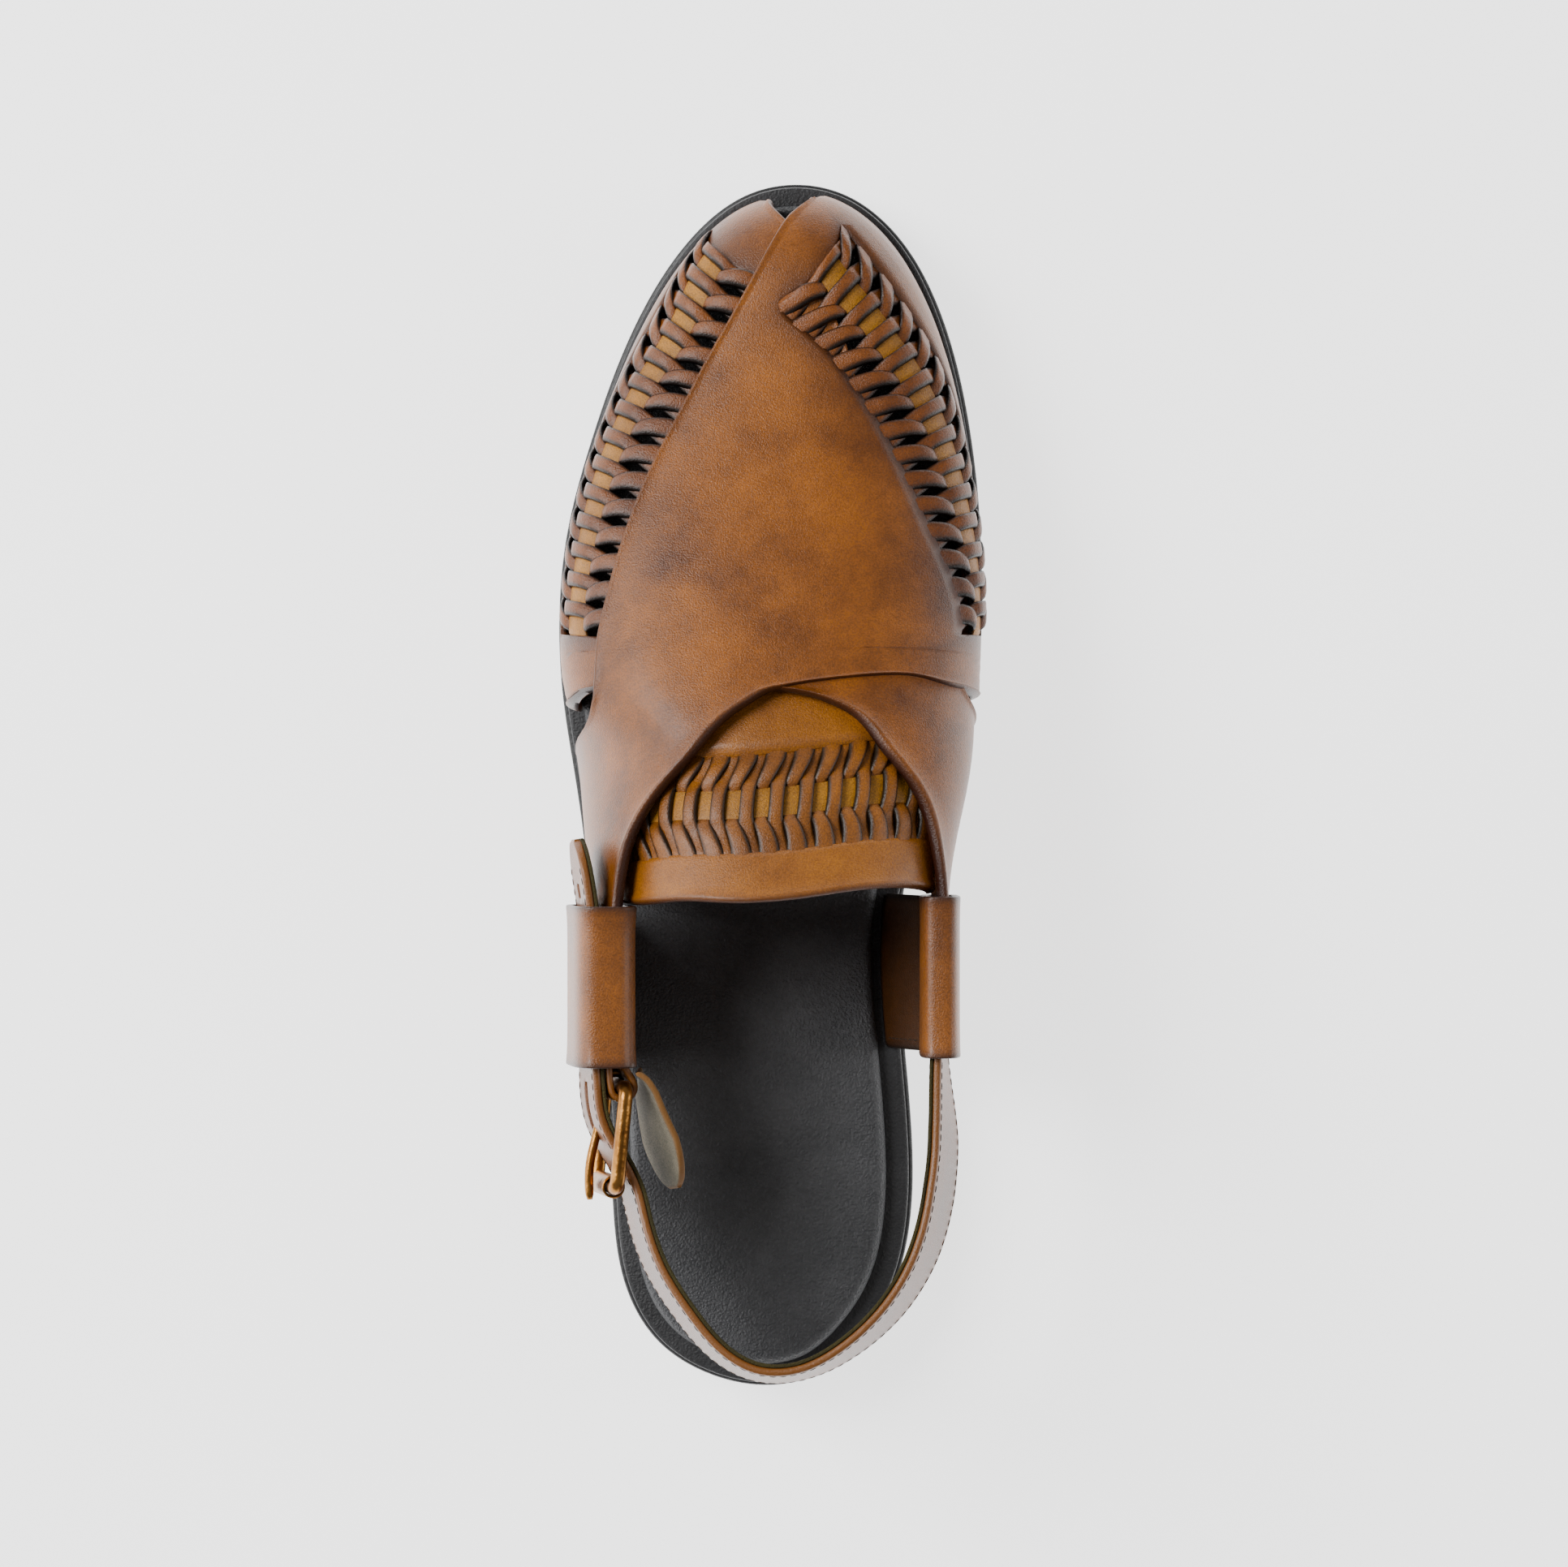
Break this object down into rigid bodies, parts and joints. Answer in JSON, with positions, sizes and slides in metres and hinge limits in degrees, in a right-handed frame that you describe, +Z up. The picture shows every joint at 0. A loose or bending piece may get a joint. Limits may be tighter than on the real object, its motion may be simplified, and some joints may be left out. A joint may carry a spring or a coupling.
{
  "type": "peshawari chappal",
  "caption": "Left peshawari chappal in cognac leather: two crossed woven panels, a woven tongue, a buckled heel strap and a flat black sole with a low heel.",
  "frame": {"origin": "on the floor, under the middle of the sole's bounding box", "axes": "+Y towards the toe, +X towards the inner (medial) side of the foot, +Z up"},
  "size_m": [0.1026, 0.29, 0.0869],
  "materials": {
    "cognac_leather": "burnished",
    "ochre_leather": "burnished",
    "strap_leather": "burnished",
    "grey_leather": "suede",
    "black_leather": "grained",
    "black_rubber": "matte",
    "aged_brass": "satin"
  },
  "bodies": {
    "root": {"heel_block": "black_rubber", "outsole": "black_rubber", "midsole": "black_leather", "insole": "black_leather", "upper": "cognac_leather", "tongue": "ochre_leather", "keeper_lateral": "cognac_leather", "keeper_medial": "cognac_leather", "heel_strap": "strap_leather", "buckle_frame": "aged_brass", "buckle_roller": "aged_brass", "buckle_prong": "aged_brass", "buckle_chape": "cognac_leather", "buckle_guard": "grey_leather"}
  },
  "joints": []
}
